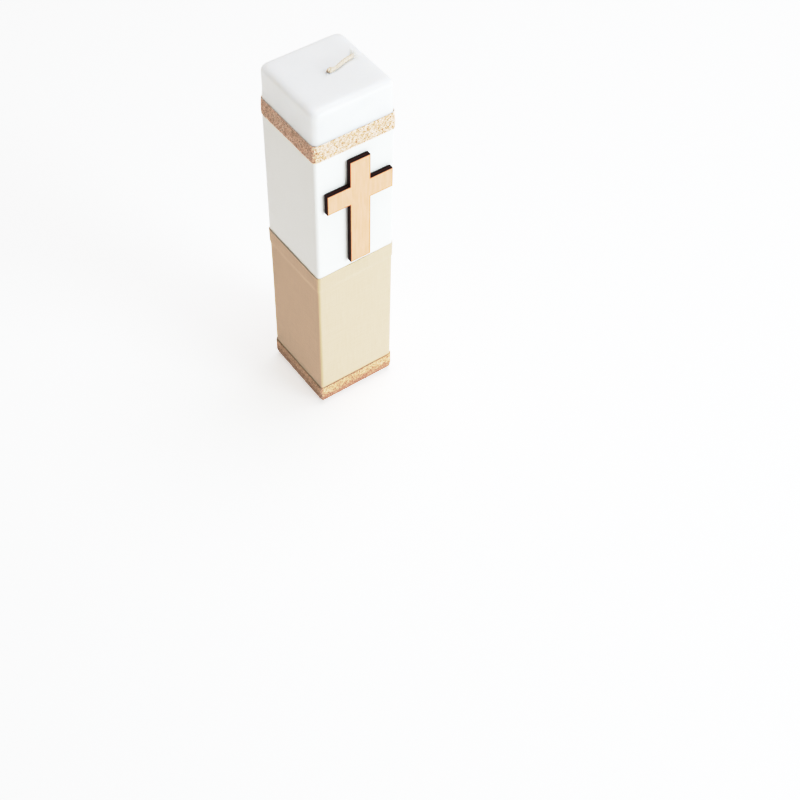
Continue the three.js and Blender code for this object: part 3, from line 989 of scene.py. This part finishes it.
def add_fray(shape, path, tangent, side, up):
    """Wisps of loose cotton at the cut end, each a bunch of fine fibres that spread.
    A wisp is its reach ahead, how far it goes sideways, its lift and its number of fibres."""
    random = np.random.default_rng(5)
    wisps = [
        (4.6, 3.6, 0.3, 16),
        (6.4, 2.6, 0.5, 12),
        (6.0, 0.9, 0.2, 12),
        (4.6, -0.4, 0.0, 14),
        (3.2, -2.8, 0.0, 12),
        (1.6, -3.8, 0.0, 8),
        (5.4, 4.9, 0.4, 8),
    ]
    ahead = unit(np.array([tangent[-1][0], tangent[-1][1], 0]))
    left = np.array([-ahead[1], ahead[0], 0])
    rise = np.array([0, 0, 1.0])
    for reach, sideways, lift, count in wisps:
        for _ in range(count):
            at = -random.integers(1, 14)
            start = path[at] + side[at] * random.normal(0, 0.35) + up[at] * random.normal(0, 0.3)
            tip = path[-1] + ahead * (reach - 2 + random.normal(0, 0.5))
            tip = tip + left * (sideways + random.normal(0, 0.35))
            tip = tip + rise * (lift + random.normal(0, 0.2) - 0.3)
            tip[2] = max(tip[2], WAX_TOP + 0.15)
            middle = start * 0.5 + tip * 0.5 + ahead * 0.5 + rise * abs(random.normal(0.15, 0.25))
            share = np.linspace(0, 1, 7)[:, None]
            line = start * (1 - share) ** 2 + middle * 2 * share * (1 - share) + tip * share**2
            across, over = frame_along(line, rise)
            radius = random.uniform(0.05, 0.10) * (1 - 0.65 * share[:, 0])
            points, faces, around = tube(line, across, over, radius, radius, 4)
            along = np.repeat(share[:, 0] * 5, 4) + 40 * random.random()
            shape.add(points, faces, fibre=fibre_place(around, along, 0.1))


def wick_clip():
    """A pressed tin disc with a stiffening ring and a crimped neck that grips the wick."""
    plate = 0.4
    top = CLIP_HIGH[2]
    outer = CLIP_HIGH[0] - WICK_PLACE[0]
    profile = [
        (0.0, 0.0),
        (outer - 0.12, 0.0),
        (outer, 0.12),
        (outer, plate - 0.08),
        (outer - 0.1, plate),
        (7.6, plate),
        (7.2, plate + 0.2),
        (6.6, plate + 0.2),
        (6.2, plate),
        (2.9, plate),
        (2.45, plate + 0.25),
        (2.2, plate + 0.9),
        (2.05, top * 0.5),
        (2.0, top - 0.1),
        (1.9, top),
        (1.5, top),
        (1.42, top - 0.1),
        (1.42, 0.85),
        (0.0, 0.8),
    ]
    sides = 96
    angles = np.arange(sides) * 2 * math.pi / sides
    points = []
    for radius, z in profile:
        neck = smooth(z, 1.6, 3.2) * (radius > 1.3)
        pinch = 1 - 0.07 * neck * (0.5 + 0.5 * np.cos(4 * angles))
        across = radius * pinch * np.cos(angles)
        ahead = radius * pinch * np.sin(angles)
        ring = np.stack([across, ahead, np.full(sides, z)], axis=1)
        points.append(ring + (*WICK_PLACE[:2], 0))
    rings = np.concatenate(points[1:-1])
    faces = capped_faces(len(profile) - 2, sides)
    piece = new_piece("pressed_clip", Shape().add(rings, faces), TIN, "candle")
    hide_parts("wick_clip")
    return piece


def finish_tapes():
    """The CAD's own strips of tape stay, with the tape's finish."""
    for node in ("white_seam_tape", "beige_seam_tape", "cross_tape_lower", "cross_tape_upper"):
        strip = frame["nodes"][node]
        strip.data.materials.clear()
        strip.data.materials.append(TAPE)


# Stage, light and camera


def add_camera():
    """The scene's camera, high and to the left of the front, turned slightly on its axis."""
    data = bpy.data.cameras.new("camera")
    data.lens = 66.63
    data.sensor_width = 36
    azimuth, elevation, roll = (math.radians(a) for a in (-36.93, 50.33, 1.683))
    turn = Matrix.Rotation(azimuth, 4, "Z") @ Matrix.Rotation(math.pi / 2 - elevation, 4, "X")
    camera = bpy.data.objects.new("camera", data)
    place = Matrix.Translation((-0.3247, -0.5007, 0.6816))
    camera.matrix_world = place @ turn @ Matrix.Rotation(roll, 4, "Z")
    bpy.context.scene.collection.objects.link(camera)
    bpy.context.scene.camera = camera


def add_light(name, place, aim, size, power, colour):
    """A round soft light, aimed at a point."""
    data = bpy.data.lights.new(name, "AREA")
    data.shape = "DISK"
    data.size = size
    data.energy = power
    data.color = colour
    light = bpy.data.objects.new(name, data)
    light.location = place
    light.rotation_euler = (Vector(aim) - Vector(place)).to_track_quat("-Z", "Y").to_euler()
    bpy.context.scene.collection.objects.link(light)


def add_stage():
    """A pale floor, a warm surround and two cool lights: one to the front right, one above."""
    look = Look("floor", Roughness=0.8, Emission_Color=(1, 1, 1, 1), Emission_Strength=0.56)
    look.colour(look.ramp(look.noise(look.place(), 0.002, 2), (0.3, 0.88), (0.7, 0.90)))
    size = 3000
    corners = [(-size, -size, 0), (size, -size, 0), (size, size, 0), (-size, size, 0)]
    floor = new_piece("floor", Shape().add(corners, [[0, 1, 2, 3]]), look.material)
    floor.location.z = -0.0002
    world = bpy.data.worlds.new("studio")
    world.use_nodes = True
    background = world.node_tree.nodes["Background"].inputs
    background["Color"].default_value = (1.0, 0.84, 0.57, 1)
    background["Strength"].default_value = 0.265
    bpy.context.scene.world = world
    middle = (0, 0, 0.12)
    add_light("key", (0.75, -1.58, 0.45), middle, 0.9, 31.2, (0.82, 0.933, 0.99))
    add_light("top", (0.35, 0.0, 1.7), middle, 1.3, 30.0, (0.84, 0.885, 0.97))


def set_tone():
    """A photographic contrast curve: firmer middle tones and whites that roll off gently.
    The stops are a scene value and what it becomes, both linear."""
    brightest = 1.8
    stops = [(0, 0), (0.2, 0.17), (0.42, 0.376), (0.64, 0.637)]
    stops += [(0.9, 0.79), (1.13, 0.863), (1.53, 0.962), (brightest, 1.0)]
    view = bpy.context.scene.view_settings
    view.view_transform = "Standard"
    view.use_curve_mapping = True
    mapping = view.curve_mapping
    mapping.white_level = (brightest, brightest, brightest)
    points = mapping.curves[3].points
    while len(points) < len(stops):
        points.new(1.0, 1.0)
    for point, (value, result) in zip(points, stops):
        point.location = (value / brightest, result)
    mapping.update()


add_camera()
add_stage()
set_tone()
wax_pillar()
white_sleeve()
beige_sleeve()
winding("upper_winding", UPPER_LOW[2], UPPER_HIGH[2], 41, "upper_twine", PALE_TWINE)
winding("lower_winding", LOWER_LOW[2], LOWER_HIGH[2], 57, "lower_twine", SHADED_LOWER_TWINE)
wooden_cross()
braided_wick()
wick_clip()
finish_tapes()
